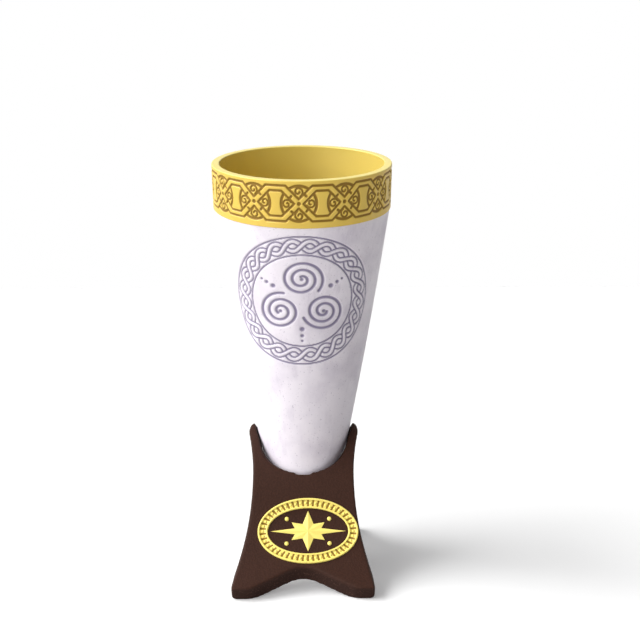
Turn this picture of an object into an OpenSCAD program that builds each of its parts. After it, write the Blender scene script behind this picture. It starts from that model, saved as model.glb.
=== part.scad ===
// Drinking horn with a metal collar and liner, standing in a bent leather saddle.
// Lengths are in millimetres and angles in degrees. Z is up and the front faces -Y.
// The horn bends in the YZ plane: upright in the saddle, leaning forward at its mouth.

/* [Collar] */
// Outside diameter of the collar
collar_d = 84; // [74:1:96]
// Height of the collar along the horn
collar_h = 20.6; // [12:0.2:30]
// Thickness of the collar's skirt
collar_wall = 1.2; // [0.8:0.1:1.6]
// Thickness of the flat rim that caps the mouth
rim_t = 2; // [1.2:0.1:4]
// Rounding of the rim's two edges
rim_edge_r = 0.4; // [0.2:0.1:0.8]
// Thickness of the bedding between the skirt and the horn
bedding_t = 0.3; // [0.2:0.05:0.6]
// How far the skirt stands proud of the horn below it
collar_overhang = 0.4; // [0.3:0.1:1.2]

/* [Horn] */
// Forward tilt of the mouth
mouth_tilt = 19.5; // [10:0.5:28]
// Radius of the horn's bend, along its centre line
bend_r = 323.5; // [240:0.5:420]
// Outside diameter of the horn at the top of the saddle
seat_d = 47.5; // [42:0.5:54]
// Outside diameter where the round tip begins
tip_d = 21; // [14:0.5:26]
// Least gap between the tip and the floor
tip_gap = 3; // [2:0.5:12]
// Wall of the horn
horn_wall = 2.5; // [2.2:0.1:4]

/* [Liner] */
// Inside depth of the cup, from the rim along the horn
cup_depth = 120; // [70:1:124]
// Wall of the liner
liner_t = 0.6; // [0.4:0.1:1]
// Gap between the liner and the horn
liner_gap = 0.1; // [0.05:0.05:0.3]
// Rounding at the bottom of the cup
cup_bottom_r = 9; // [4:0.5:14]

/* [Saddle] */
// Height of the saddle's ridge
saddle_h = 71.6; // [64:0.2:80]
// Thickness of the leather
sheet_t = 8.5; // [6:0.5:10]
// Outside radius of the bend on each side of the ridge
ridge_r = 55; // [48:0.5:62]
// How far the centre of each bend lies beyond the ridge
ridge_offset = 26.6; // [20:0.2:32]
// Angle above the bend's centre at which the flare of the legs begins
flare_start = 15.5; // [12:0.1:20]
// Slope of the feet
foot_slope = 28.4; // [22:0.2:38]
// Depth trimmed off under the feet to let them stand flat
foot_trim = 1.2; // [0.8:0.1:2]
// Clearance around the horn in its seat
seat_clearance = 0.95; // [0.5:0.05:1]
// Depth below the ridge to which the legs are hollowed for the horn
hollow_drop = 38; // [36:0.5:44]
// Depth of the notch for the horn below the ridge, at the front and the back
notch_drop = 20.4; // [14:0.2:23]
// Squareness of the notch's round bottom, 2 for an oval
notch_square = 2.6; // [2:0.1:4]
// How far the notch's sides lie inside the horn's width at the ridge
notch_inset = 1.2; // [0.4:0.1:3]
// Width of the leather beside the horn at the ridge
ear_w = 4.1; // [2:0.1:6]
// Rounding of the ears' upper corners
ear_corner_r = 4; // [1:0.5:5]
// Distance of the waist below the ridge
waist_drop = 22.6; // [16:0.2:30]
// How far the sides draw in from the ears to the waist
waist_in = 4.5; // [1:0.1:6]
// How far the front feet stand out from the waist
foot_out = 8; // [5:0.1:12]
// How far the rear feet stand out from the waist
rear_foot_out = 5.2; // [4:0.1:12]

/* [Feet] */
// Width of each foot between the arch and the side
toe_w = 8.3; // [6:0.1:12]
// Rise of the arch between the feet, to where its sides would meet
arch_rise = 13; // [8:0.5:16]
// Rounding at the top of the arch
arch_r = 15; // [4:0.5:20]
// Rounding of a foot beside the arch
toe_inner_r = 6; // [2:0.5:8]
// Rounding of a foot's lower outer corner
toe_outer_r = 1.8; // [0.5:0.1:3]

/* [Badge] */
// Angle along the flare to the middle of the badge
badge_angle = 30.5; // [28:0.5:33]
// Height of the badge along the leg
badge_h = 31; // [24:0.5:32]
// How far the badge sits to the right of the middle
badge_shift = 2.2; // [0:0.1:3]
// Margin between the badge and the right side of the leg
badge_margin = 0.6; // [0.4:0.1:4]
// Thickness of the badge
badge_t = 0.8; // [0.4:0.1:1.2]
// Width of the badge's border
border_w = 4.8; // [1.5:0.1:6]
// Gap between the border and the star's long points
star_gap = 1.2; // [0.8:0.1:3]
// Length of the short points as a share of the long ones
star_short = 0.62; // [0.5:0.01:0.8]
// Depth of the notches between points as a share of the long points
star_notch = 0.38; // [0.2:0.01:0.45]
// Diameter of the dots between the points
dot_d = 2; // [1:0.1:3]

/* [Hidden] */

$fn = 96;
horn_sides = 48;
horn_rings = 30;
cup_rings = 18;
arc_steps = 8;
bend_steps = 20;
edge_steps = 10;
tip_steps = 5;
star_points = 8;
oval_steps = 72;
// Reach of the cutting solids past what they cut
over = 60;
// Angle by which the bend runs past the end that the feet are cut to
foot_spare = 4;
deg_per_rad = 180 / PI;

collar_r = collar_d / 2;
mouth_r = collar_r - collar_overhang;
skirt_r = collar_r - collar_wall;
rebate_r = skirt_r - bedding_t;
seat_r = seat_d / 2;
tip_r = tip_d / 2;
liner_in_r = mouth_r - horn_wall - liner_gap - liner_t;

// Places along the horn are arc lengths from the collar's lower edge, downwards
shell_top = -(collar_h - rim_t);
seat_s = bend_r * mouth_tilt / deg_per_rad;
tip_z = tip_gap + tip_r;
tip_s = seat_s + bend_r * asin((saddle_h - tip_z) / bend_r) / deg_per_rad;
cup_s = cup_depth - collar_h;

function arc_point(s) =
    let (a = mouth_tilt - s / bend_r * deg_per_rad)
    [bend_r * (cos(a) - 1), saddle_h + bend_r * sin(a)];
function tilt_at(s) = mouth_tilt - max(s, 0) / bend_r * deg_per_rad;
// Centre line of the horn as [y, z], straight inside the collar and an arc below it
function axis_at(s) =
    s < 0 ? arc_point(0) - s * [-sin(mouth_tilt), cos(mouth_tilt)] : arc_point(s);
// Outside radius of the horn, a parabola through the mouth, the seat and the tip
function horn_r(s) =
    mouth_r * (s - seat_s) * (s - tip_s) / (seat_s * tip_s)
    + seat_r * s * (s - tip_s) / (seat_s * (seat_s - tip_s))
    + tip_r * s * (s - seat_s) / (tip_s * (tip_s - seat_s));
function cavity_r(s) = (s < 0 ? mouth_r : horn_r(s)) - horn_wall;
tip_taper = atan(horn_r(tip_s - 1) - tip_r);
tip_ball_r = tip_r / cos(tip_taper);

// Wall of the cup as [place, radius] pairs, from the middle of its floor up to the rim
function cup_wall(floor_s, inset) =
    let (turn_s = floor_s - cup_bottom_r, turn_r = cavity_r(turn_s) - inset)
    concat(
        [[floor_s, 0]],
        [for (i = [0 : arc_steps]) let (a = 90 - 90 * i / arc_steps)
            [turn_s + cup_bottom_r * sin(a), turn_r - cup_bottom_r * (1 - cos(a))]],
        [for (i = [1 : cup_rings]) let (s = turn_s * (1 - i / cup_rings)) [s, cavity_r(s) - inset]],
        [[shell_top, cavity_r(0) - inset]]
    );
// Outside of the horn as [place, radius] pairs, from the rim down to the tip
function horn_wall_outside() = concat(
    [[shell_top, rebate_r], [0, rebate_r]],
    [for (i = [0 : horn_rings - 1]) let (s = tip_s * i / horn_rings) [s, horn_r(s)]],
    [for (i = [0 : tip_steps - 1]) let (a = tip_taper + (90 - tip_taper) * i / tip_steps)
        [tip_s + tip_ball_r * (sin(a) - sin(tip_taper)), tip_ball_r * cos(a)]],
    [[tip_s + tip_ball_r * (1 - sin(tip_taper)), 0]]
);
function reversed(list) = [for (i = [len(list) - 1 : -1 : 0]) list[i]];

// Points of one round section of the horn
function section(s, r) =
    let (c = axis_at(s), t = tilt_at(s))
    [for (i = [0 : horn_sides - 1]) let (a = 360 * i / horn_sides)
        [r * cos(a), c[0] + r * sin(a) * cos(t), c[1] + r * sin(a) * sin(t)]];

// Solid whose wall follows [place, radius] pairs between two points on the centre line
module sweep(wall) {
    n = horn_sides;
    last = len(wall) - 1;
    rings = [for (i = [1 : last - 1]) each section(wall[i][0], wall[i][1])];
    first_pole = axis_at(wall[0][0]);
    last_pole = axis_at(wall[last][0]);
    points = concat(rings, [[0, first_pole[0], first_pole[1]], [0, last_pole[0], last_pole[1]]]);
    first = len(rings);
    top = (last - 2) * n;
    sides = [for (k = [0 : last - 3], i = [0 : n - 1])
        let (j = (i + 1) % n, a = k * n, b = a + n)
        each [[a + i, a + j, b + j], [a + i, b + j, b + i]]];
    ends = [for (i = [0 : n - 1]) let (j = (i + 1) % n)
        each [[first, j, i], [first + 1, top + i, top + j]]];
    polyhedron(points, concat(sides, ends));
}

// Arc that rounds the corner at p between a and b
function corner(a, p, b, r) =
    r == 0 ? [p] :
    let (
        u = (a - p) / norm(a - p),
        v = (b - p) / norm(b - p),
        half = acos(u * v) / 2,
        c = p + (u + v) / norm(u + v) * r / sin(half),
        d1 = p + u * r / tan(half) - c,
        d2 = p + v * r / tan(half) - c,
        a1 = atan2(d1[1], d1[0]),
        turn = (atan2(d2[1], d2[0]) - a1 + 540) % 360 - 180
    )
    [for (i = [0 : arc_steps]) let (t = a1 + turn * i / arc_steps) c + r * [cos(t), sin(t)]];
// Outline with a rounding at each of its corners
function rounded(points, radii) =
    let (n = len(points))
    [for (i = [0 : n - 1]) each corner(points[(i + n - 1) % n], points[i], points[(i + 1) % n], radii[i])];

// Bend of the saddle, seen from the side as [y, z]
foot_angle = 90 - foot_slope;
ridge_z = saddle_h - sqrt(pow(ridge_r, 2) - pow(ridge_offset, 2));
flare_r = (ridge_z + ridge_r * sin(flare_start) - sheet_t * sin(foot_angle) + foot_trim)
    / (sin(foot_angle) - sin(flare_start));
flare_y = ridge_offset - (ridge_r + flare_r) * cos(flare_start);
flare_z = ridge_z + (ridge_r + flare_r) * sin(flare_start);
function flare_point(a) = [flare_y + flare_r * cos(a), flare_z - flare_r * sin(a)];
foot_edge = flare_point(foot_angle);
foot_reach = -foot_edge[0];
// Front half of the bend as [y, z], from the ridge to the foot, at a depth into the leather
function bend_line(depth) = concat(
    [for (i = [0 : bend_steps])
        let (top = acos(-ridge_offset / (ridge_r - depth)),
             a = top + (180 - flare_start - top) * i / bend_steps)
        [ridge_offset, ridge_z] + (ridge_r - depth) * [cos(a), sin(a)]],
    [for (i = [1 : bend_steps])
        let (a = flare_start + (foot_angle + foot_spare - flare_start) * i / bend_steps)
        [flare_y, flare_z] + (flare_r + depth) * [cos(a), -sin(a)]]
);

// Sides of the saddle, seen from the front
ear_half = seat_r + seat_clearance + ear_w;
waist_half = ear_half - waist_in;
waist_z = saddle_h - waist_drop;
leg_drop = waist_z - foot_edge[1];
ear_sweep_r = (pow(waist_drop, 2) + pow(waist_in, 2)) / (2 * waist_in);
function leg_sweep_r(out) = (pow(leg_drop, 2) + pow(out, 2)) / (2 * out);
// Half the saddle's width at a height: an arc above the waist, another out to the foot
function half_width(z, out) =
    let (r = z < waist_z ? leg_sweep_r(out) : ear_sweep_r, rise = max(z - waist_z, -leg_drop))
    waist_half + r - sqrt(pow(r, 2) - pow(rise, 2));

// The box of the whole object is centred on the origin
rim_front = -axis_at(rim_edge_r - collar_h)[0]
    + (collar_r - rim_edge_r) * cos(mouth_tilt) + rim_edge_r;
saddle_y = (rim_front - foot_reach) / 2;
module in_place() translate([0, saddle_y, 0]) children();

// Turns a shape on the collar's own axis to where the collar sits
module at_collar() {
    c = axis_at(0);
    in_place() translate([0, c[0], c[1]]) rotate([mouth_tilt, 0, 0]) children();
}

module horn_shell() {
    color("whitesmoke") in_place()
        sweep(concat(cup_wall(cup_s + liner_t + liner_gap, 0), horn_wall_outside()));
}

module cup_liner() {
    inside = cup_wall(cup_s, liner_gap + liner_t);
    outside = cup_wall(cup_s + liner_t, liner_gap);
    color("gold") in_place() sweep(concat(inside, reversed(outside)));
}

module rim_collar() {
    under_rim = collar_h - rim_t;
    outline = [
        [collar_r, 0], [collar_r, collar_h], [liner_in_r, collar_h],
        [liner_in_r, under_rim], [skirt_r, under_rim], [skirt_r, 0]
    ];
    color("goldenrod") at_collar()
        rotate_extrude() polygon(rounded(outline, [0, rim_edge_r, rim_edge_r, 0, 0, 0]));
}

module collar_bedding() {
    color("dimgray") at_collar()
        rotate_extrude() translate([rebate_r, 0]) square([bedding_t, collar_h - rim_t]);
}

// The leather between two depths, bent over the ridge and out into a leg at each side
module bent_strap(from_depth, to_depth) {
    outer = bend_line(from_depth);
    inner = bend_line(to_depth);
    front = concat(outer, reversed(inner));
    rear = [for (i = [len(front) - 2 : -1 : 1]) [-front[i][0], front[i][1]]];
    rotate([90, 0, 90]) linear_extrude(2 * over, center = true) polygon(concat(front, rear));
}

// Right side of the saddle from a foot on the floor to the top of the ear
function side_edge(out) =
    let (corner_z = saddle_h - ear_corner_r, corner_x = half_width(corner_z, out) - ear_corner_r)
    concat(
        [for (i = [0 : arc_steps]) let (a = 90 * (i / arc_steps - 1))
            [half_width(0, out) + toe_outer_r * (cos(a) - 1), toe_outer_r * (1 + sin(a))]],
        [for (i = [0 : edge_steps]) let (z = foot_edge[1] + leg_drop * i / edge_steps)
            [half_width(z, out), z]],
        [for (i = [1 : edge_steps - 1]) let (z = waist_z + (corner_z - waist_z) * i / edge_steps)
            [half_width(z, out), z]],
        [for (i = [0 : arc_steps]) let (a = 90 * i / arc_steps)
            [corner_x + ear_corner_r * cos(a), corner_z + ear_corner_r * sin(a)]]
    );
module leg_outline(out) {
    right = side_edge(out);
    polygon(concat(right, [for (p = reversed(right)) [-p[0], p[1]]]));
}

// Round-bottomed notch that shows the horn at the front and the back
module notch_outline() {
    half = seat_r - notch_inset;
    power = 2 / notch_square;
    bottom = [for (i = [-edge_steps : edge_steps]) let (a = 90 * i / edge_steps)
        [half * sign(a) * pow(abs(sin(a)), power), saddle_h - notch_drop * pow(cos(a), power)]];
    polygon(concat([[-half, saddle_h + over]], bottom, [[half, saddle_h + over]]));
}

// What is cut off the end of a leg to leave two round feet and the arch between them
module foot_trim_outline(out) {
    arch_half = half_width(foot_edge[1], out) - toe_w;
    points = [
        [-over, -over], [over, -over], [over, 0],
        [arch_half, 0], [0, arch_rise], [-arch_half, 0], [-over, 0]
    ];
    polygon(rounded(points, [0, 0, 0, toe_inner_r, arch_r, toe_inner_r, 0]));
}

// Tapered hole that follows the horn between two places along it
module horn_hole(from_s, to_s, clearance) {
    a = axis_at(from_s);
    b = axis_at(to_s);
    translate([0, b[0], b[1]]) rotate([atan2(b[0] - a[0], a[1] - b[1]), 0, 0])
        cylinder(h = norm(a - b), r1 = horn_r(to_s) + clearance, r2 = horn_r(from_s) + clearance);
}

// The front leg with its two feet, and the ridge up to its middle
module leg(out) {
    difference() {
        intersection() {
            bent_strap(0, sheet_t);
            rotate([90, 0, 0]) translate([0, 0, -ear_corner_r])
                linear_extrude(over + ear_corner_r) leg_outline(out);
        }
        translate([0, foot_edge[0], foot_edge[1]]) rotate([foot_slope, 0, 0])
            linear_extrude(over, center = true) foot_trim_outline(out);
    }
}

module stand_saddle() {
    color("#46302a") in_place() difference() {
        union() {
            leg(foot_out);
            mirror([0, 1, 0]) leg(rear_foot_out);
        }
        rotate([90, 0, 0]) linear_extrude(2 * over, center = true) notch_outline();
        horn_hole(seat_s - ear_corner_r, seat_s + hollow_drop, seat_clearance);
    }
}

// Size of the badge across, from the width of the leg where it sits
badge_half = half_width(flare_point(badge_angle)[1], foot_out) - badge_margin - badge_shift;
badge_half_h = flare_r * sin(badge_h / 2 / flare_r * deg_per_rad);
star_long = badge_half_h - border_w - star_gap;
star_stretch = (badge_half - border_w - star_gap) / star_long;

function oval(rx, ry) =
    [for (i = [0 : oval_steps - 1]) let (a = 360 * i / oval_steps) [rx * cos(a), ry * sin(a)]];

// A flat shape laid on the front leg, following its curve
module on_front_leg() {
    p = flare_point(badge_angle);
    in_place() intersection() {
        bent_strap(-badge_t, 0);
        translate([badge_shift, p[0], p[1]]) rotate([90 - badge_angle, 0, 0])
            linear_extrude(badge_h, center = true) children();
    }
}

module badge_border() {
    color("gold") on_front_leg() difference() {
        polygon(oval(badge_half, badge_half_h));
        polygon(oval(badge_half - border_w, badge_half_h - border_w));
    }
}

module badge_motif() {
    lengths = [1, star_notch, star_short, star_notch];
    turn = 360 / (2 * star_points);
    star = [for (i = [0 : 2 * star_points - 1])
        let (r = star_long * lengths[i % 4], a = turn * i)
        [star_stretch * r * cos(a), r * sin(a)]];
    dot_r = star_long * star_short + dot_d;
    color("gold") on_front_leg() {
        polygon(star);
        for (a = [45 : 90 : 315])
            translate([star_stretch * dot_r * cos(a), dot_r * sin(a)]) circle(d = dot_d);
    }
}

horn_shell();
cup_liner();
rim_collar();
collar_bedding();
stand_saddle();
badge_border();
badge_motif();
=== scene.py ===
"""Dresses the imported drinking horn: engraved horn and collar, leather saddle, gilt badge."""

import logging
import math
from dataclasses import dataclass, field
from enum import Enum
from typing import Mapping, Optional, Sequence, Union

import bmesh
import bpy
import numpy as np
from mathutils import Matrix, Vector
from mathutils.kdtree import KDTree


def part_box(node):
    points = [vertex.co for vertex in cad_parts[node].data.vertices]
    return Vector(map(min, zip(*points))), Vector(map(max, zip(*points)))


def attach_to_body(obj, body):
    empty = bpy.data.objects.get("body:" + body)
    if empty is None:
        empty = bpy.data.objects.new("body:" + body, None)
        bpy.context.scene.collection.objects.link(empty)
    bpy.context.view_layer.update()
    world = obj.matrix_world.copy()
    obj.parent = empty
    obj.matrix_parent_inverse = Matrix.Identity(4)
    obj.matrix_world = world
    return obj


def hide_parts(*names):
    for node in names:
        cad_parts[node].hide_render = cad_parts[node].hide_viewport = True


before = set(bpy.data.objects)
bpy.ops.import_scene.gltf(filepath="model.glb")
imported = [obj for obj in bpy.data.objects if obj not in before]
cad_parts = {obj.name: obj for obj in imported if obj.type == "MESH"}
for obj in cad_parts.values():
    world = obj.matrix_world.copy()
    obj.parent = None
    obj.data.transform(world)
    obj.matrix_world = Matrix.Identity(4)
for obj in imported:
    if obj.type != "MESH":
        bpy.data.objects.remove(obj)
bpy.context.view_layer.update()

MM = 0.001
TURN = 2 * math.pi
FRONT = -math.pi / 2
LOG = logging.getLogger("drinking_horn")

Colour = tuple[float, float, float]
WHITE: Colour = (1.0, 1.0, 1.0)


class Body(Enum):
    """The rigid bodies of the part."""

    STAND = "stand"
    HORN = "horn"


class Slot(Enum):
    """Names of the material slots."""

    HORN = "horn"
    LINER = "liner_gilt"
    COLLAR = "collar_gilt"
    LEATHER = "leather"
    BADGE = "badge_gilt"


class Operation(Enum):
    """Math operations that Python's operators stand for."""

    ADD = "ADD"
    SUBTRACT = "SUBTRACT"
    MULTIPLY = "MULTIPLY"


class Signal:
    """A node's socket that Python's operators extend with Math nodes."""

    def __init__(self, graph: "Graph", socket: bpy.types.NodeSocket) -> None:
        """Keeps the graph and its socket."""
        self.graph = graph
        self.socket = socket

    def _math(self, operation: Operation, first: "Operand", second: "Operand") -> "Signal":
        """Adds one Math node on two operands."""
        return self.graph.node("ShaderNodeMath", {"operation": operation.value}, {0: first, 1: second})

    def __add__(self, other: "Operand") -> "Signal":
        """Adds a value."""
        return self._math(Operation.ADD, self, other)

    __radd__ = __add__

    def __sub__(self, other: "Operand") -> "Signal":
        """Takes a value away."""
        return self._math(Operation.SUBTRACT, self, other)

    def __rsub__(self, other: "Operand") -> "Signal":
        """Takes this signal away from a value."""
        return self._math(Operation.SUBTRACT, other, self)

    def __mul__(self, other: "Operand") -> "Signal":
        """Multiplies by a value."""
        return self._math(Operation.MULTIPLY, self, other)

    __rmul__ = __mul__


Operand = Union[Signal, float, Sequence[float], bpy.types.Material]


class Graph:
    """A node tree that is filled node by node."""

    def __init__(self, tree: bpy.types.NodeTree) -> None:
        """Empties the tree."""
        self.tree = tree
        self.tree.nodes.clear()

    def _feed(self, socket: bpy.types.NodeSocket, value: Operand) -> None:
        """Links a signal to a socket or sets the socket's value.

        Args:
            socket: The socket to feed.
            value: The signal or the value.
        """
        if isinstance(value, Signal):
            self.tree.links.new(value.socket, socket)
        elif socket.type == "RGBA":
            socket.default_value = (*value, 1.0)
        else:
            socket.default_value = value

    def node(
        self,
        kind: str,
        settings: Optional[Mapping[str, object]] = None,
        inputs: Optional[Mapping[Union[int, str], Operand]] = None,
        output: Union[int, str] = 0,
    ) -> Signal:
        """Adds one node of any type.

        Args:
            kind: Blender's name of the node's type.
            settings: The node's own settings, set first.
            inputs: Values or signals of its sockets, by name or place.
            output: The output socket that is wanted, by name or place.

        Returns:
            The signal at that output.
        """
        made = self.tree.nodes.new(kind)
        for key, value in (settings or {}).items():
            setattr(made, key, value)
        for key, value in (inputs or {}).items():
            self._feed(made.inputs[key], value)
        return Signal(self, made.outputs[output])

    def end(self, kind: str, signal: Signal) -> None:
        """Ends the tree in an output node."""
        self._feed(self.tree.nodes.new(kind).inputs[0], signal)


class SurfaceGraph(Graph):
    """The node tree of one material, with the nodes that finishes share."""

    def __init__(self, name: str) -> None:
        """Makes a material with an empty tree.

        Args:
            name: Name of the material.
        """
        self.material = bpy.data.materials.new(name)
        self.material.use_nodes = True
        super().__init__(self.material.node_tree)

    def place(self, stretch: Sequence[float] = (1.0, 1.0, 1.0)) -> Signal:
        """Object coordinates, stretched along the axes."""
        coordinates = self.node("ShaderNodeTexCoord", output="Object")
        return self.node("ShaderNodeMapping", inputs={"Vector": coordinates, "Scale": stretch})

    def attribute(self, name: str) -> Signal:
        """A number stored on the mesh's points."""
        return self.node("ShaderNodeAttribute", {"attribute_name": name}, output="Fac")

    def noise(self, scale: float, detail: float, stretch: Sequence[float] = (1.0, 1.0, 1.0)) -> Signal:
        """Cloudy noise.

        Args:
            scale: Features to the metre.
            detail: Finer layers that are added.
            stretch: Stretch of the coordinates along the axes.

        Returns:
            The noise, from 0 to 1.
        """
        sockets = {"Vector": self.place(stretch), "Scale": scale, "Detail": detail}
        return self.node("ShaderNodeTexNoise", inputs=sockets, output="Fac")

    def step(self, signal: Signal, low: float, high: float) -> Signal:
        """A smooth step of a signal from 0 at low to 1 at high."""
        sockets = {"Value": signal, "From Min": low, "From Max": high}
        return self.node("ShaderNodeMapRange", {"interpolation_type": "SMOOTHSTEP"}, sockets)

    def blend(self, factor: Operand, first: Operand, second: Operand) -> Signal:
        """Mixes two colours.

        Args:
            factor: Share of the second colour.
            first: Colour at a factor of 0.
            second: Colour at a factor of 1.

        Returns:
            The mixed colour.
        """
        settings = {"data_type": "RGBA", "clamp_factor": True}
        return self.node("ShaderNodeMix", settings, {0: factor, 6: first, 7: second}, output=2)

    def bump(self, height: Signal, depth: float) -> Signal:
        """Normals of a fine relief.

        Args:
            height: Relief from 0 to 1.
            depth: Depth of the relief in metres.

        Returns:
            The bent normal.
        """
        return self.node("ShaderNodeBump", inputs={"Height": height, "Strength": 1.0, "Distance": depth})

    def finish(self, sockets: Mapping[str, Operand]) -> bpy.types.Material:
        """Feeds the Principled shader.

        Args:
            sockets: Values or signals of the shader's sockets, by name.

        Returns:
            The finished material.
        """
        self.end("ShaderNodeOutputMaterial", self.node("ShaderNodeBsdfPrincipled", inputs=sockets))
        return self.material


@dataclass(frozen=True)
class HornFinish:
    """Bleached horn: pale, faintly mottled, with tinted engraving."""

    name: str = "bleached_horn"
    pale: Colour = (0.9, 0.84, 0.905)
    cloud: Colour = (0.74, 0.68, 0.76)
    speck: Colour = (0.5, 0.45, 0.53)
    groove: Colour = (0.2, 0.17, 0.28)
    cloud_scale: float = 55.0
    streak_scale: float = 260.0
    streak_stretch: float = 0.12
    speck_scale: float = 1150.0
    grain_scale: float = 700.0
    roughness: float = 0.46
    relief: float = 0.12 * MM
    refraction: float = 1.5

    def material(self) -> bpy.types.Material:
        """Builds the material.

        Returns:
            The horn's material.
        """
        graph = SurfaceGraph(self.name)
        clouds = graph.step(graph.noise(self.cloud_scale, 4.0), 0.42, 0.7)
        streaked = graph.noise(self.streak_scale, 3.0, (1.0, 1.0, self.streak_stretch))
        streaks = graph.step(streaked, 0.5, 0.78)
        specks = graph.step(graph.noise(self.speck_scale, 1.0), 0.66, 0.76)
        grain = graph.noise(self.grain_scale, 2.0)
        groove = graph.attribute("groove")
        tint = graph.blend(clouds * 0.8 + streaks * 0.45, self.pale, self.cloud)
        tint = graph.blend(specks * 0.55, tint, self.speck)
        tint = graph.blend(groove * 0.92, tint, self.groove)
        return graph.finish({
            "Base Color": tint,
            "Roughness": self.roughness + clouds * 0.12 + groove * 0.1,
            "Normal": graph.bump(grain * 0.6 + streaks * 0.4, self.relief),
            "IOR": self.refraction,
        })


@dataclass(frozen=True)
class GiltFinish:
    """Gilt metal, satin or bright, with darker engraving and a painted highlight of lighter gold on the rim's
    top.
    """

    name: str
    gold: Colour = (0.77, 0.53, 0.085)
    dull: Colour = (0.71, 0.48, 0.07)
    bore: Colour = (0.72, 0.56, 0.125)
    # Painted highlight: a lighter gold for the top of the collar's rim, where the light catches it.
    rim: Colour = (0.86, 0.72, 0.2)
    groove: Colour = (0.25, 0.135, 0.004)
    ink_full: float = 0.8
    metallic: float = 0.12
    roughness: float = 0.34
    wear_scale: float = 70.0
    brush_scale: float = 420.0
    brush_stretch: float = 6.0
    relief: float = 0.03 * MM

    def material(self) -> bpy.types.Material:
        """Builds the material.

        Returns:
            The gilt material.
        """
        graph = SurfaceGraph(self.name)
        wear = graph.step(graph.noise(self.wear_scale, 4.0), 0.4, 0.72)
        brushing = graph.noise(self.brush_scale, 2.0, (1.0, 1.0, self.brush_stretch))
        groove = graph.attribute("groove")
        tint = graph.blend(wear * 0.6, self.gold, self.dull)
        tint = graph.blend(graph.attribute("bore"), tint, self.bore)
        # Painted highlight: points marked rim, at the top of the rim, take the lighter rim gold.
        tint = graph.blend(graph.attribute("rim"), tint, self.rim)
        tint = graph.blend(graph.step(groove, 0.0, self.ink_full), tint, self.groove)
        return graph.finish({
            "Base Color": tint,
            "Metallic": self.metallic,
            "Roughness": self.roughness + wear * 0.1 + groove * 0.2 + brushing * 0.06,
            "Normal": graph.bump(brushing, self.relief),
        })


@dataclass(frozen=True)
class LeatherFinish:
    """Thick hardened leather: pebbled grain faces and fibrous cut faces."""

    name: str = "hardened_leather"
    grain_colour: Colour = (0.047, 0.0185, 0.0115)
    hollow_colour: Colour = (0.028, 0.0112, 0.007)
    cut_colour: Colour = (0.032, 0.014, 0.01)
    fibre_colour: Colour = (0.085, 0.042, 0.03)
    sheen_level: float = 0.12
    pore_scale: float = 1300.0
    pore_softness: float = 0.6
    cloud_scale: float = 60.0
    fibre_scale: float = 1500.0
    roughness: float = 0.46
    relief: float = 0.1 * MM

    def material(self) -> bpy.types.Material:
        """Builds the material.

        Returns:
            The leather's material.
        """
        graph = SurfaceGraph(self.name)
        cut = graph.attribute("cut")
        cells = graph.node(
            "ShaderNodeTexVoronoi", {"feature": "SMOOTH_F1"},
            {"Vector": graph.place(), "Scale": self.pore_scale, "Smoothness": self.pore_softness}, "Distance")
        pores = graph.step(cells, 0.15, 0.75)
        clouds = graph.noise(self.cloud_scale, 4.0)
        fibres = graph.noise(self.fibre_scale, 3.0)
        flecks = graph.step(fibres, 0.52, 0.72)
        grain = graph.blend(pores * 0.55 + clouds * 0.45 - 0.2, self.grain_colour, self.hollow_colour)
        raw = graph.blend(flecks, self.cut_colour, self.fibre_colour)
        relief = (1 - pores) * (1 - cut) * 0.6 + fibres * cut
        return graph.finish({
            "Base Color": graph.blend(cut, grain, raw),
            "Roughness": self.roughness + clouds * 0.14 + cut * 0.24,
            "Specular IOR Level": self.sheen_level,
            "Normal": graph.bump(relief, self.relief),
        })


@dataclass(frozen=True)
class BeddingFinish:
    """Dark bedding compound under the collar."""

    name: str = "bedding_compound"
    dark: Colour = (0.05, 0.045, 0.04)
    light: Colour = (0.09, 0.08, 0.07)
    cloud_scale: float = 400.0
    roughness: float = 0.8

    def material(self) -> bpy.types.Material:
        """Builds the material.

        Returns:
            The bedding's material.
        """
        graph = SurfaceGraph(self.name)
        clouds = graph.noise(self.cloud_scale, 3.0)
        return graph.finish({
            "Base Color": graph.blend(clouds, self.dark, self.light),
            "Roughness": self.roughness + clouds * 0.1,
        })


def polar(radius: np.ndarray, turn: np.ndarray) -> np.ndarray:
    """Places at distances and angles about the middle."""
    return np.stack([radius * np.cos(turn), radius * np.sin(turn)], -1)


def smooth_share(share: np.ndarray) -> np.ndarray:
    """Clips a share to 0 and 1 and smooths both ends."""
    clipped = np.clip(share, 0.0, 1.0)
    return clipped * clipped * (3 - 2 * clipped)


def grid_faces(rows: int, columns: int, closed_rows: bool = False) -> np.ndarray:
    """Faces of a grid of points that is closed across its columns.

    Args:
        rows: Number of rows of points.
        columns: Number of points in a row.
        closed_rows: Whether the last row joins the first.

    Returns:
        Four point numbers for each face.
    """
    row = np.arange(rows if closed_rows else rows - 1)[:, None]
    column = np.arange(columns)[None, :]
    low, high = row * columns, (row + 1) % rows * columns
    beside = (column + 1) % columns
    return np.stack([low + column, low + beside, high + beside, high + column], -1).reshape(-1, 4)


def add_object(name: str, data: bpy.types.ID) -> bpy.types.Object:
    """Adds an object to the scene, at the origin.

    Args:
        name: Name of the object.
        data: Its mesh, lamp or camera.

    Returns:
        The new object.
    """
    made = bpy.data.objects.new(name, data)
    bpy.context.scene.collection.objects.link(made)
    return made


def bake(carrier: bpy.types.Object) -> bpy.types.Mesh:
    """Turns an object with modifiers into a plain mesh and removes the object.

    Args:
        carrier: The object.

    Returns:
        Its finished mesh.
    """
    graph = bpy.context.evaluated_depsgraph_get()
    mesh = bpy.data.meshes.new_from_object(carrier.evaluated_get(graph))
    bpy.data.objects.remove(carrier)
    return mesh


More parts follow.
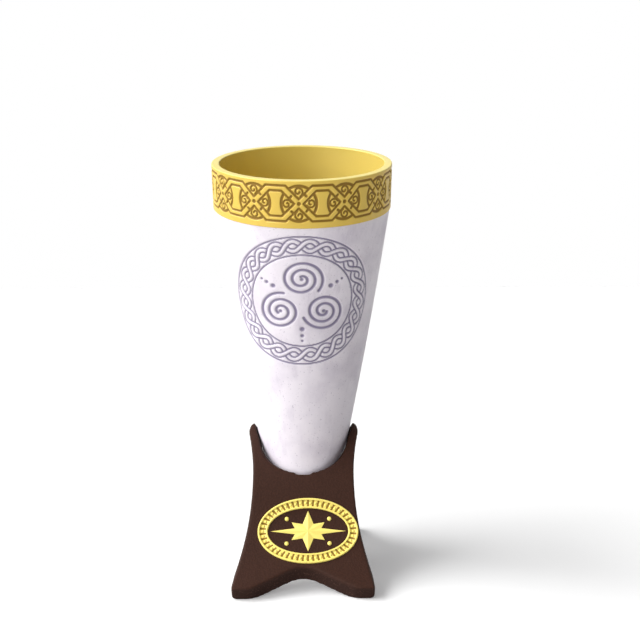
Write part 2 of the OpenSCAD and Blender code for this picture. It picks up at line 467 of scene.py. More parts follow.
def mark_points(mesh: bpy.types.Mesh, key: str, values: np.ndarray) -> None:
    """Stores one number on each point of a mesh, for its material.

    Args:
        mesh: The mesh.
        key: Name that the material reads.
        values: One number for each point.
    """
    layer = mesh.attributes.new(key, "FLOAT", "POINT")
    layer.data.foreach_set("value", np.asarray(values, np.float32))


def make_piece(
    name: str,
    points: np.ndarray,
    faces: Sequence[Sequence[int]],
    material: bpy.types.Material,
    marks: Optional[Mapping[str, np.ndarray]] = None,
    crease: float = math.pi,
) -> bpy.types.Object:
    """Makes a mesh object at the origin.

    Args:
        name: Name of the piece.
        points: Places of its points in metres.
        faces: Point numbers of its faces.
        material: Its material.
        marks: Numbers to store on the points, by name.
        crease: Angle between faces above which their edge is shaded sharp.

    Returns:
        The new object.
    """
    mesh = bpy.data.meshes.new(name)
    mesh.from_pydata(points.tolist(), [], [list(map(int, face)) for face in faces])
    mesh.materials.append(material)
    for key, values in (marks or {}).items():
        mark_points(mesh, key, values)
    mesh.polygons.foreach_set("use_smooth", [True] * len(mesh.polygons))
    turn_outwards(mesh)
    mesh.set_sharp_from_angle(angle=crease)
    return add_object(name, mesh)


def turn_outwards(mesh: bpy.types.Mesh) -> None:
    """Makes the faces of a closed mesh point outwards.

    Args:
        mesh: The mesh to turn.
    """
    work = bmesh.new()
    work.from_mesh(mesh)
    bmesh.ops.recalc_face_normals(work, faces=work.faces)
    work.to_mesh(mesh)
    work.free()


def attach(piece: bpy.types.Object, body: Body, slot: Slot, *nodes: str) -> None:
    """Puts a piece on its body and hides the CAD nodes that it replaces.

    Args:
        piece: The piece.
        body: The body that it moves with.
        slot: Not used.
        *nodes: The CAD nodes that it replaces.
    """
    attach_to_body(piece, body.value)
    if nodes:
        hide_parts(*nodes)
    LOG.info("%s: %d faces on %s", piece.name, len(piece.data.polygons), body.value)


class GrooveDrawing:
    """Engraved lines on an unrolled surface, each with its own width."""

    def __init__(self, spacing: float) -> None:
        """Starts an empty drawing.

        Args:
            spacing: Distance between the sampled points of a line.
        """
        self.spacing = spacing
        self.strokes: dict[float, list[np.ndarray]] = {}

    def line(self, points: Sequence[Sequence[float]], width: float) -> np.ndarray:
        """Draws a line through points.

        Args:
            points: Corners of the line.
            width: Width of the groove.

        Returns:
            The sampled points of the line.
        """
        corners = np.asarray(points, float)
        lengths = np.linalg.norm(np.diff(corners, axis=0), axis=1)
        along = np.concatenate([[0.0], np.cumsum(lengths)])
        count = max(2, int(along[-1] / self.spacing) + 1)
        places = np.linspace(0.0, along[-1], count)
        samples = np.stack([np.interp(places, along, corners[:, axis]) for axis in (0, 1)], -1)
        self.strokes.setdefault(width, []).append(samples)
        return samples

    def dot(self, centre: Sequence[float], width: float) -> None:
        """Draws a round dot."""
        self.strokes.setdefault(width, []).append(np.asarray([centre], float))

    def arc(self, radius: float, start: float, end: float, width: float) -> None:
        """Draws an arc about the middle.

        Args:
            radius: Radius of the arc.
            start: First angle in radians.
            end: Last angle in radians.
            width: Width of the groove.
        """
        turn = np.linspace(start, end, int(abs(end - start) * radius / self.spacing))
        self.line(polar(radius, turn), width)

    def spiral(
        self, centre: Sequence[float], radii: tuple[float, float], start: float, turns: float, width: float
    ) -> None:
        """Draws a spiral that winds inwards.

        Args:
            centre: Middle of the spiral.
            radii: Its outer and inner radius.
            start: Angle of its outer end in radians.
            turns: Number of turns; a negative number winds the other way.
            width: Width of the groove.
        """
        share = np.linspace(0.0, 1.0, int(abs(turns) * TURN * radii[0] / self.spacing))
        radius = radii[0] + (radii[1] - radii[0]) * share
        self.line(np.asarray(centre) + polar(radius, start + turns * TURN * share), width)

    def depth_at(self, across: np.ndarray, along: np.ndarray, softness: float = 0.55) -> np.ndarray:
        """Finds how deep the engraving is at places on the surface.

        Args:
            across: Places across the surface.
            along: Places along the surface.
            softness: Share of a groove's half width over which its side slopes.

        Returns:
            Depths from 0 to 1, in the shape of the places.
        """
        depth = np.zeros(across.size)
        places = np.stack([across.ravel(), along.ravel()], -1)
        for width, lines in self.strokes.items():
            samples = np.concatenate(lines)
            tree = KDTree(len(samples))
            for number, (u, v) in enumerate(samples):
                tree.insert((u, v, 0.0), number)
            tree.balance()
            distance = np.array([tree.find((u, v, 0.0))[2] for u, v in places])
            depth = np.maximum(depth, smooth_share((width / 2 - distance) / (softness * width / 2)))
        return depth.reshape(across.shape)


@dataclass(frozen=True)
class HornCurve:
    """Centre line, radii and collar place of the horn, as the CAD lays them out."""

    saddle_y: float
    collar_r: float = 42 * MM
    collar_h: float = 20.6 * MM
    collar_wall: float = 1.2 * MM
    collar_overhang: float = 0.4 * MM
    rim_t: float = 2 * MM
    bedding_t: float = 0.3 * MM
    mouth_tilt: float = math.radians(19.5)
    bend_r: float = 323.5 * MM
    seat_r: float = 23.75 * MM
    tip_r: float = 10.5 * MM
    tip_gap: float = 3 * MM
    horn_wall: float = 2.5 * MM
    saddle_h: float = 71.6 * MM
    cup_depth: float = 120 * MM
    liner_t: float = 0.6 * MM
    liner_gap: float = 0.1 * MM
    cup_bottom_r: float = 9 * MM

    @property
    def mouth_r(self) -> float:
        """Outside radius of the horn under the collar."""
        return self.collar_r - self.collar_overhang

    @property
    def liner_in_r(self) -> float:
        """Inside radius of the liner at the mouth."""
        return self.mouth_r - self.horn_wall - self.liner_gap - self.liner_t

    @property
    def shell_top(self) -> float:
        """Place of the horn's upper end."""
        return self.rim_t - self.collar_h

    @property
    def seat_s(self) -> float:
        """Place of the horn's seat in the saddle."""
        return self.bend_r * self.mouth_tilt

    @property
    def tip_s(self) -> float:
        """Place where the round tip begins."""
        drop = self.saddle_h - self.tip_gap - self.tip_r
        return self.seat_s + self.bend_r * math.asin(drop / self.bend_r)

    @property
    def cup_s(self) -> float:
        """Place of the cup's floor."""
        return self.cup_depth - self.collar_h

    def radius(self, s: np.ndarray) -> np.ndarray:
        """Outside radius of the horn below the collar.

        Args:
            s: Place along the horn, from the collar's lower edge downwards.

        Returns:
            The radius at each place.
        """
        seat, tip = self.seat_s, self.tip_s
        return (
            self.mouth_r * (s - seat) * (s - tip) / (seat * tip)
            + self.seat_r * s * (s - tip) / (seat * (seat - tip))
            + self.tip_r * s * (s - seat) / (tip * (tip - seat))
        )

    def points(self, s: np.ndarray, r: np.ndarray, turn: np.ndarray) -> np.ndarray:
        """Places points round the horn's centre line.

        Args:
            s: Place along the horn, from the collar's lower edge downwards.
            r: Distance from the centre line.
            turn: Angle round the centre line.

        Returns:
            The points, one for each element of the inputs.
        """
        tilt = self.mouth_tilt - np.maximum(s, 0.0) / self.bend_r
        rise = np.minimum(s, 0.0)
        y = self.bend_r * (np.cos(tilt) - 1) + rise * math.sin(self.mouth_tilt)
        z = self.saddle_h + self.bend_r * np.sin(tilt) - rise * math.cos(self.mouth_tilt)
        out = r * np.sin(turn)
        x, y, z = np.broadcast_arrays(
            r * np.cos(turn), self.saddle_y + y + out * np.cos(tilt), z + out * np.sin(tilt))
        return np.stack([x, y, z], -1)

    def cup_wall(self, floor_s: float, inset: float, bends: int = 12, rings: int = 24) -> np.ndarray:
        """Wall of the cup from the edge of its floor's middle to the mouth.

        Args:
            floor_s: Place of the floor.
            inset: Distance of the wall inside the horn's own cavity.
            bends: Steps of the rounding at the floor.
            rings: Steps of the wall.

        Returns:
            Pairs of place and radius.
        """
        turn_s = floor_s - self.cup_bottom_r
        turn_r = float(self.radius(turn_s)) - self.horn_wall - inset
        bend = np.linspace(math.pi / 2, 0.0, bends)
        s_bend = turn_s + self.cup_bottom_r * np.sin(bend)
        r_bend = turn_r - self.cup_bottom_r * (1 - np.cos(bend))
        s_wall = np.linspace(turn_s, 0.0, rings)[1:]
        r_wall = self.radius(s_wall) - self.horn_wall - inset
        s_all = np.concatenate([s_bend, s_wall, [self.shell_top]])
        r_all = np.concatenate([r_bend, r_wall, [r_wall[-1]]])
        return np.stack([s_all, r_all], -1)


@dataclass
class EngravedHorn:
    """The horn with a plaited wreath and a three-spiral knot cut into its front."""

    curve: HornCurve
    finish: HornFinish = field(default_factory=HornFinish)
    wreath_middle: float = 39 * MM
    wreath_r: float = 29.6 * MM
    wave: float = 2.6 * MM
    waves: int = 12
    strand_w: float = 2.3 * MM
    groove_w: float = 1.15 * MM
    groove_depth: float = 0.55 * MM
    knot_reach: float = 11.6 * MM
    spiral_radii: tuple[float, float] = (9.9 * MM, 1.5 * MM)
    spiral_start: float = -0.72 * math.pi
    spiral_turns: float = 2.4
    spiral_w: float = 1.9 * MM
    eye_w: float = 2.4 * MM
    dot_reaches: tuple[float, ...] = (15.4 * MM, 19 * MM, 21.8 * MM)
    dot_widths: tuple[float, ...] = (3.2 * MM, 2.4 * MM, 1.7 * MM)
    sample: float = 0.12 * MM
    narrow_s: float = 62.4 * MM
    fine_step: float = 0.4 * MM
    coarse_columns: int = 64
    coarse_rings: int = 30
    tip_rings: int = 12
    tip_drop: float = 0.21875 * MM

    @property
    def reach(self) -> float:
        """Radius within which the engraving lies."""
        return self.wreath_r + self.wave + 2 * self.strand_w

    def _strand(self, turn: np.ndarray, side: int) -> tuple[np.ndarray, np.ndarray]:
        """Radius and slope of one strand of the wreath at angles.

        Args:
            turn: The angles.
            side: 1 or -1, for the strand that is wanted.

        Returns:
            The radii and the slopes.
        """
        radius = self.wreath_r + side * self.wave * np.sin(self.waves * turn)
        slope = side * self.wave * self.waves * np.cos(self.waves * turn) / self.wreath_r
        return radius, slope

    def _draw_wreath(self, drawing: GrooveDrawing) -> None:
        """Draws two strands that pass over and under each other, between two rings.

        Args:
            drawing: The drawing to add to.
        """
        turn = np.linspace(0.0, TURN, int(TURN * self.wreath_r * 2 / drawing.spacing))
        for side in (1, -1):
            radius, slope = self._strand(turn, side)
            for edge in (1, -1):
                out = radius + edge * self.strand_w / 2 * np.sqrt(1 + slope ** 2)
                other, other_slope = self._strand(turn, -side)
                gap = np.abs(out - other) / np.sqrt(1 + other_slope ** 2)
                crossing = np.round(turn * self.waves / math.pi).astype(int)
                hidden = (crossing % 2 == (0 if side > 0 else 1)) & (gap < self.strand_w / 2)
                drawing.strokes.setdefault(self.groove_w, []).append(polar(out, turn)[~hidden])
        border = self.wave + self.strand_w
        for radius in (self.wreath_r + border, self.wreath_r - border):
            drawing.arc(radius, 0.0, TURN, self.groove_w)

    def _draw_knot(self, drawing: GrooveDrawing) -> None:
        """Draws three joined spirals with dots between them.

        Args:
            drawing: The drawing to add to.
        """
        arms = 3
        for heading in math.pi / 2 + np.arange(arms) * TURN / arms:
            centre = polar(self.knot_reach, heading)
            start = heading + self.spiral_start
            drawing.spiral(centre, self.spiral_radii, start, self.spiral_turns, self.spiral_w)
            drawing.dot(centre, self.eye_w)
            for reach, width in zip(self.dot_reaches, self.dot_widths):
                drawing.dot(polar(reach, heading + TURN / arms / 2), width)

    def engraving(self) -> GrooveDrawing:
        """Draws the whole engraving.

        Returns:
            The drawing, centred on the wreath's middle.
        """
        drawing = GrooveDrawing(self.sample)
        self._draw_wreath(drawing)
        self._draw_knot(drawing)
        return drawing

    def _columns(self) -> np.ndarray:
        """Angles of the mesh's columns, close together across the engraving down to its narrow part.

        Returns:
            The angles round the horn.
        """
        half = self.reach / float(self.curve.radius(self.narrow_s))
        fine = np.arange(-half, half, self.fine_step / self.curve.mouth_r)
        coarse = np.linspace(half, TURN - half, self.coarse_columns, endpoint=False)
        return FRONT + np.concatenate([fine, coarse])

    def _outside(self) -> np.ndarray:
        """Places and radii down the outside of the horn, up to its tip.

        Returns:
            Pairs of place and radius.
        """
        curve = self.curve
        end = self.wreath_middle + self.reach
        fine = np.arange(0.0, end, self.fine_step)
        coarse = np.linspace(end, curve.tip_s, self.coarse_rings)
        s = np.concatenate([fine, coarse])
        slope = math.atan(float(curve.radius(curve.tip_s - MM) - curve.tip_r) / MM)
        ball_r = curve.tip_r / math.cos(slope)
        bend = np.linspace(slope, math.pi / 2, self.tip_rings + 1)[1:-1]
        below = curve.tip_s + ball_r * (np.sin(bend) - math.sin(slope))
        tip = np.stack([below, ball_r * np.cos(bend)], -1)
        rebate_r = curve.collar_r - curve.collar_wall - curve.bedding_t
        top = np.array([[curve.shell_top, rebate_r], [0.0, rebate_r]])
        return np.concatenate([top, np.stack([s, curve.radius(s)], -1), tip])

    def build(self) -> None:
        """Builds the engraved horn."""
        curve = self.curve
        inside = curve.cup_wall(curve.cup_s + curve.liner_t + curve.liner_gap, 0.0)
        wall = np.concatenate([inside, self._outside()])
        turn = self._columns()
        s, r = wall[:, :1], wall[:, 1:]
        across = (turn - FRONT)[None, :] * r
        along = np.broadcast_to(self.wreath_middle - s, across.shape)
        near = np.zeros(across.shape, bool)
        near[len(inside):] = np.hypot(across, along)[len(inside):] < self.reach
        groove = np.zeros(across.shape)
        groove[near] = self.engraving().depth_at(across[near], along[near])
        points = curve.points(s, r - groove * self.groove_depth, turn[None, :]).reshape(-1, 3)
        count = len(points)
        faces = grid_faces(len(wall), len(turn)).tolist()
        ends = curve.points(np.array([wall[0, 0], wall[-1, 0]]), np.zeros(2), np.zeros(2))
        ends[1, 2] -= self.tip_drop
        last = count - len(turn)
        for column in range(len(turn)):
            beside = (column + 1) % len(turn)
            faces.append([count, beside, column])
            faces.append([count + 1, last + column, last + beside])
        marks = {"groove": np.concatenate([groove.ravel(), [0.0, 0.0]])}
        piece = make_piece("horn_body", np.concatenate([points, ends]), faces, self.finish.material(), marks)
        attach(piece, Body.HORN, Slot.HORN, "horn_shell")


@dataclass
class CupLining:
    """The gilt lining of the cup."""

    curve: HornCurve
    finish: GiltFinish = field(default_factory=lambda: GiltFinish("lining_gilt", roughness=0.42))
    columns: int = 160
    crease: float = math.radians(30)

    def build(self) -> None:
        """Builds the lining."""
        curve = self.curve
        inner = curve.cup_wall(curve.cup_s, curve.liner_gap + curve.liner_t)
        outer = curve.cup_wall(curve.cup_s + curve.liner_t, curve.liner_gap)
        wall = np.concatenate([inner, outer[::-1]])
        turn = np.linspace(0.0, TURN, self.columns, endpoint=False)
        points = curve.points(wall[:, :1], wall[:, 1:], turn[None, :]).reshape(-1, 3)
        faces = grid_faces(len(wall), self.columns).tolist()
        last = len(points) - self.columns
        faces.append(list(range(self.columns)))
        faces.append(list(range(last, len(points))))
        marks = {"bore": np.ones(len(points))}
        piece = make_piece("cup_lining", points, faces, self.finish.material(), marks, self.crease)
        attach(piece, Body.HORN, Slot.LINER, "cup_liner")


@dataclass
class KnotworkCollar:
    """The collar with its engraved band of roundels and linked panels."""

    curve: HornCurve
    finish: GiltFinish = field(default_factory=lambda: GiltFinish("collar_gilt"))
    repeats: int = 13
    columns_each: int = 82
    phase: float = math.radians(-1.2)
    rows: int = 66
    band_middle: float = 10.8 * MM
    band_half: float = 9.0 * MM
    groove_w: float = 1.3 * MM
    groove_depth: float = 0.5 * MM
    strand_half: float = 2.0 * MM
    link_top: float = 7.7 * MM
    link_w: float = 2.2 * MM
    roundel_r: float = 7.65 * MM
    ring_w: float = 1.6 * MM
    ring_half: float = math.radians(30)
    hub_w: float = 2.3 * MM
    under_gap: tuple[float, float] = (4.0 * MM, 4.75 * MM)
    curl_w: float = 1.1 * MM
    curl_reach: float = 5.2 * MM
    curl_aside: float = 0.25 * MM
    curl_radii: tuple[float, float] = (2.1 * MM, 0.55 * MM)
    curl_start: float = -0.85 * math.pi
    curl_turns: float = 1.15
    tick_turn: float = math.radians(5)
    tick_reach: float = 4.6 * MM
    tick_half: float = 0.4 * MM
    tick_w: float = 1.4 * MM
    sample: float = 0.1 * MM
    edge_r: float = 0.4 * MM
    foot_edge_r: float = 0.25 * MM
    flat: float = 0.2 * MM
    edge_steps: int = 4
    crease: float = math.radians(75)

    @property
    def pitch(self) -> float:
        """Length of one repeat round the collar."""
        return TURN * self.curve.collar_r / self.repeats

    def _draw_links(self, drawing: GrooveDrawing) -> None:
        """Draws the two strands that cross in the roundel and frame the panels.

        Args:
            drawing: The drawing to add to.
        """
        apex, top, half = self.strand_half, self.link_top, self.pitch / 2
        low = top - self.link_w
        gap_start, gap_end = self.under_gap
        for side in (1, -1):
            for level in (1, -1):
                outer = [(0.0, apex), (top - apex, top), (half, top)]
                inner = [(apex, 0.0), (low + apex, low), (half, low)]
                cut, whole = (outer, inner) if side * level > 0 else (inner, outer)
                flip = np.array([side, level])
                drawing.line(np.array(whole) * flip, self.groove_w)
                start, bend, end = (np.array(corner) for corner in cut)
                lean = (bend - start) / np.linalg.norm(bend - start)
                drawing.line(np.array([start, start + lean * gap_start]) * flip, self.groove_w)
                drawing.line(np.array([start + lean * gap_end, bend, end]) * flip, self.groove_w)

    def _draw_roundel(self, drawing: GrooveDrawing) -> None:
        """Draws the roundel's ring, its four curls and its dots.

        Args:
            drawing: The drawing to add to.
        """
        drawing.dot((0.0, 0.0), self.hub_w)
        for heading in np.arange(4) * TURN / 4:
            drawing.arc(self.roundel_r, heading - self.ring_half, heading + self.ring_half, self.ring_w)
            curl = polar(self.curl_reach, heading) + polar(self.curl_aside, heading + TURN / 4)
            drawing.spiral(curl, self.curl_radii, heading + self.curl_start, self.curl_turns, self.curl_w)
            corner = heading + TURN / 8 + self.tick_turn
            middle, side = polar(self.tick_reach, corner), polar(self.tick_half, corner + TURN / 4)
            drawing.line([middle - side, middle + side], self.tick_w)

    def repeat(self) -> GrooveDrawing:
        """Draws one repeat of the band.

        Returns:
            The drawing, centred on a roundel.
        """
        drawing = GrooveDrawing(self.sample)
        self._draw_links(drawing)
        self._draw_roundel(drawing)
        return drawing

    def _rounding(self, centre: tuple[float, float], radius: float, start: float) -> np.ndarray:
        """A quarter turn of edge rounding between two short flats.

        Args:
            centre: Radius and height of the rounding's centre.
            radius: Radius of the rounding.
            start: Angle at which it starts.

        Returns:
            Pairs of radius and height.
        """
        turn = start + np.linspace(0.0, math.pi / 2, self.edge_steps + 1)
        arc = np.asarray(centre) + polar(radius, turn)
        first = arc[0] + polar(self.flat, start - math.pi / 2)
        last = arc[-1] + polar(self.flat, start + math.pi)
        return np.concatenate([[first], arc, [last]])

    def _profile(self) -> tuple[np.ndarray, slice]:
        """Section of the collar.

        Returns:
            Pairs of radius and height, and the slice of the engraved rows.
        """
        curve = self.curve
        out, top, skin = curve.collar_r, curve.collar_h, curve.collar_r - curve.collar_wall
        foot, edge, hole = self.foot_edge_r, self.edge_r, curve.liner_in_r
        under = top - curve.rim_t
        lower = self._rounding((out - foot, foot), foot, -math.pi / 2)
        band = self.band_middle + np.linspace(-self.band_half, self.band_half, self.rows)
        wall = np.stack([np.full(self.rows, out), band], -1)
        upper = self._rounding((out - edge, top - edge), edge, 0.0)
        mouth = self._rounding((hole + edge, top - edge), edge, math.pi / 2)
        rest = np.array([[hole, under], [skin, under], [skin, 0.0]])
        return np.concatenate([lower, wall, upper, mouth, rest]), slice(len(lower), len(lower) + self.rows)

    def build(self) -> None:
        """Builds the engraved collar."""
        curve = self.curve
        profile, band = self._profile()
        columns = self.columns_each * self.repeats
        across = (np.arange(self.columns_each) + 0.5) / self.columns_each - 0.5
        along = profile[band, 1] - self.band_middle
        one = self.repeat().depth_at(*np.meshgrid(across * self.pitch, along))
        groove = np.zeros((len(profile), columns))
        groove[band] = np.tile(one, self.repeats)
        start = FRONT + self.phase - math.pi / self.repeats
        turn = start + (np.arange(columns) + 0.5) / columns * TURN
        radius = profile[:, :1] - groove * self.groove_depth
        points = curve.points(-profile[:, 1:], radius, turn[None, :]).reshape(-1, 3)
        faces = grid_faces(len(profile), columns, closed_rows=True)
        bore = np.repeat(profile[:, 0] < curve.liner_in_r + self.edge_r / 2, columns)
        # Painted highlight: marks the rows at the top of the rim, which take the lighter rim gold.
        painted_rim_highlight = np.repeat(profile[:, 1] > curve.collar_h - self.edge_r / 2, columns)
        marks = {"groove": groove.ravel(), "bore": bore.astype(float), "rim": painted_rim_highlight.astype(float)}
        piece = make_piece("collar_knotwork", points, faces, self.finish.material(), marks, self.crease)
        attach(piece, Body.HORN, Slot.COLLAR, "rim_collar")


@dataclass(frozen=True)
class SaddleBend:
    """Bend of the saddle's leather, as the CAD lays it out."""

    saddle_y: float
    saddle_h: float = 71.6 * MM
    sheet_t: float = 8.5 * MM
    ridge_r: float = 55 * MM
    ridge_offset: float = 26.6 * MM
    flare_start: float = math.radians(15.5)
    foot_slope: float = math.radians(28.4)
    foot_trim: float = 1.2 * MM

    @property
    def ridge_z(self) -> float:
        """Height of the bend's centre."""
        return self.saddle_h - math.sqrt(self.ridge_r ** 2 - self.ridge_offset ** 2)

    @property
    def flare_r(self) -> float:
        """Radius of the flare's outer face."""
        foot = math.pi / 2 - self.foot_slope
        rise = self.ridge_z + self.ridge_r * math.sin(self.flare_start)
        return (rise - self.sheet_t * math.sin(foot) + self.foot_trim) / (
            math.sin(foot) - math.sin(self.flare_start))

    @property
    def flare_centre(self) -> tuple[float, float]:
        """Depth and height of the front flare's centre."""
        reach = self.ridge_r + self.flare_r
        return (self.ridge_offset - reach * math.cos(self.flare_start),
                self.ridge_z + reach * math.sin(self.flare_start))

    def depth(self, points: np.ndarray) -> np.ndarray:
        """Depth of points below the leather's outer face.

        Args:
            points: Places of the points.

        Returns:
            One depth for each point.
        """
        y = -np.abs(points[:, 1] - self.saddle_y)
        z = points[:, 2]
        flare_y, flare_z = self.flare_centre
        from_bend = self.ridge_offset - y
        ridge = self.ridge_r - np.hypot(from_bend, z - self.ridge_z)
        flare = np.hypot(y - flare_y, z - flare_z) - self.flare_r
        return np.where(z > self.ridge_z + from_bend * math.tan(self.flare_start), ridge, flare)

    def on_front(self, across: np.ndarray, up: np.ndarray, lift: np.ndarray, middle: float) -> np.ndarray:
        """Lays flat places on the front leg's curved face.

        Args:
            across: Places across the leg.
            up: Places up the leg.
            lift: Heights above the leather.
            middle: Angle along the flare to the middle of the flat places.

        Returns:
            The laid points.
        """
        angle = middle - up / self.flare_r
        flare_y, flare_z = self.flare_centre
        y = self.saddle_y + flare_y + (self.flare_r - lift) * np.cos(angle)
        z = flare_z - (self.flare_r - lift) * np.sin(angle)
        return np.stack(np.broadcast_arrays(across, y, z), -1)


@dataclass
class LeatherSaddle:
    """The bent leather saddle with its edges rubbed round."""

    bend: SaddleBend
    finish: LeatherFinish = field(default_factory=LeatherFinish)
    weld: float = 0.001 * MM
    voxel: float = 0.55 * MM
    rub_share: float = 0.5
    rub_rounds: int = 9
    edge_band: float = 1.1 * MM

    def _rounded_mesh(self) -> bpy.types.Mesh:
        """A fine copy of the CAD saddle with rounded edges.

        Returns:
            The new mesh.
        """
        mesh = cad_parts["stand_saddle"].data.copy()
        work = bmesh.new()
        work.from_mesh(mesh)
        bmesh.ops.remove_doubles(work, verts=work.verts, dist=self.weld)
        work.to_mesh(mesh)
        work.free()
        blank = add_object("saddle_blank", mesh)
        remesh = blank.modifiers.new("fine", "REMESH")
        remesh.mode = "VOXEL"
        remesh.voxel_size = self.voxel
        rub = blank.modifiers.new("rub", "SMOOTH")
        rub.factor = self.rub_share
        rub.iterations = self.rub_rounds
        return bake(blank)

    def build(self) -> None:
        """Builds the saddle."""
        mesh = self._rounded_mesh()
        mesh.name = "saddle_leather"
        points = np.empty(len(mesh.vertices) * 3, np.float32)
        mesh.vertices.foreach_get("co", points)
        depth = self.bend.depth(points.reshape(-1, 3).astype(float))
        inner = np.minimum(depth, self.bend.sheet_t - depth)
        mark_points(mesh, "cut", smooth_share((inner - self.edge_band / 2) / self.edge_band))
        mesh.materials.clear()
        mesh.materials.append(self.finish.material())
        mesh.polygons.foreach_set("use_smooth", [True] * len(mesh.polygons))
        attach(add_object("saddle_leather", mesh), Body.STAND, Slot.LEATHER, "stand_saddle")


@dataclass
class StarBadge:
    """The oval badge: a band between two rims, a row of beads on it and an eight-pointed star."""

    bend: SaddleBend
    finish: GiltFinish = field(default_factory=lambda: GiltFinish(
        "badge_gilt", gold=(1.0, 0.83, 0.2), dull=(0.97, 0.79, 0.18), metallic=0.0, roughness=0.4))
    middle: float = math.radians(30.5)
    shift: float = 2.2 * MM
    half_w: float = 23.7 * MM
    half_h: float = 15.45 * MM
    band_w: float = 4.8 * MM
    rim_w: float = 1.1 * MM
    rim_steps: int = 7
    band_lift: float = 0.3 * MM
    thickness: float = 0.8 * MM
    sunk: float = -0.2 * MM
    bead_r: float = 0.78 * MM
    bead_rounds: int = 2
    bead_lift: float = -0.02 * MM
    beads: int = 46
    tick_share: float = 0.3
    tick_inset: float = 0.99 * MM
    star_gap: float = 6.0 * MM
    star_short: float = 0.62
    star_notch: float = 0.38
    star_edge: float = 0.2 * MM
    star_crease: float = math.radians(5)
    dot_r: float = 1.0 * MM
    dot_place: tuple[float, float] = (0.8, 0.86)
    dot_radii: tuple[float, ...] = (1.0, 1.0, 0.8, 0.45)
    dot_lifts: tuple[float, ...] = (-0.2 * MM, 0.15 * MM, 0.42 * MM, 0.6 * MM)
    dot_sides: int = 20
    steps: int = 368

    def _lay(self, across: np.ndarray, up: np.ndarray, lift: np.ndarray) -> np.ndarray:
        """Lays flat places of the badge on the leg."""
        return self.bend.on_front(across + self.shift, up, lift, self.middle)

    def _oval(self, inset: np.ndarray, turn: np.ndarray) -> tuple[np.ndarray, np.ndarray]:
        """Flat places on an oval that lies inside the badge's edge."""
        return (self.half_w - inset) * np.cos(turn), (self.half_h - inset) * np.sin(turn)

    def _section(self) -> np.ndarray:
        """Section of the band, with a rim at each side.

        Returns:
            Pairs of inset from the badge's edge and lift.
        """
        bulge = np.linspace(0.0, math.pi, self.rim_steps)
        rim = self.rim_w / 2 * (1 - np.cos(bulge))
        rise = self.band_lift + (self.thickness - self.band_lift) * np.sin(bulge)
        outer = np.stack([rim, rise], -1)
        inner = np.stack([self.band_w - self.rim_w + rim, rise], -1)
        return np.concatenate([[[0.0, self.sunk]], outer, inner, [[self.band_w, self.sunk]]])

    def _turns(self) -> np.ndarray:
        """Angles at even lengths along the middle of the band, so that beads and ticks take turns.

        Returns:
            The angles round the badge.
        """
        fine = np.linspace(0.0, TURN, 4 * self.steps + 1)
        path = np.stack(self._oval(self.band_w / 2, fine), -1)
        length = np.concatenate([[0.0], np.cumsum(np.linalg.norm(np.diff(path, axis=0), axis=1))])
        return np.interp(np.arange(self.steps) * length[-1] / self.steps, length, fine)

    def build_border(self, material: bpy.types.Material) -> None:
        """Builds the badge's band with its two rims and the dark ticks between the beads.

        Args:
            material: The badge's material.
        """
        section = self._section()
        points = self._lay(*self._oval(section[:, :1], self._turns()), section[:, 1:])
        per_bead = self.steps // self.beads
        floor = np.abs(section[:, 0] - self.band_w / 2) < self.band_w / 2 - self.tick_inset
        tick = np.abs(np.arange(self.steps) % per_bead - per_bead / 2) < per_bead * self.tick_share / 2
        marks = {"groove": (floor[:, None] & tick[None, :]).astype(float).ravel()}
        faces = grid_faces(len(section), self.steps, closed_rows=True)
        piece = make_piece("badge_rings", points.reshape(-1, 3), faces, material, marks)
        attach(piece, Body.STAND, Slot.BADGE, "badge_border")

    def _bead_tree(self, material: bpy.types.Material) -> tuple[bpy.types.NodeTree, dict[str, str]]:
        """Makes the node tree that sets beads along a closed path.

        Args:
            material: The beads' material.

        Returns:
            The tree and the identifiers of its named inputs.
        """
        tree = bpy.data.node_groups.new("badge_bead_row", "GeometryNodeTree")
        face = tree.interface
        face.new_socket("Geometry", in_out="INPUT", socket_type="NodeSocketGeometry")
        count = face.new_socket("Beads", in_out="INPUT", socket_type="NodeSocketInt")
        size = face.new_socket("Bead radius", in_out="INPUT", socket_type="NodeSocketFloat")
        face.new_socket("Geometry", in_out="OUTPUT", socket_type="NodeSocketGeometry")
        graph = Graph(tree)
        path, beads, radius = (
            graph.node("NodeGroupInput", output=name) for name in ("Geometry", "Beads", "Bead radius"))
        curve = graph.node("GeometryNodeMeshToCurve", inputs={"Mesh": path})
        places = graph.node("GeometryNodeResampleCurve", inputs={"Curve": curve, "Count": beads})
        ball = {"Radius": radius, "Subdivisions": self.bead_rounds}
        bead = graph.node("GeometryNodeMeshIcoSphere", inputs=ball)
        bead = graph.node("GeometryNodeSetShadeSmooth", inputs={"Geometry": bead})
        row = graph.node("GeometryNodeInstanceOnPoints", inputs={"Points": places, "Instance": bead})
        row = graph.node("GeometryNodeRealizeInstances", inputs={"Geometry": row})
        row = graph.node("GeometryNodeSetMaterial", inputs={"Geometry": row, "Material": material})
        graph.end("NodeGroupOutput", row)
        return tree, {"beads": count.identifier, "radius": size.identifier}

    def build_beads(self, material: bpy.types.Material) -> None:
        """Builds the row of beads on the band.

        Args:
            material: The badge's material.
        """
        flat = self._oval(self.band_w / 2, self._turns())
        path = self._lay(*flat, np.full(self.steps, self.bead_lift))
        mesh = bpy.data.meshes.new("bead_path")
        mesh.from_pydata(path.tolist(), [(i, (i + 1) % self.steps) for i in range(self.steps)], [])
        carrier = add_object("bead_path", mesh)
        tree, sockets = self._bead_tree(material)
        row = carrier.modifiers.new("beads", "NODES")
        row.node_group = tree
        row[sockets["beads"]] = self.beads
        row[sockets["radius"]] = self.bead_r
        made = bake(carrier)
        made.name = "badge_beads"
        attach(add_object("badge_beads", made), Body.STAND, Slot.BADGE)

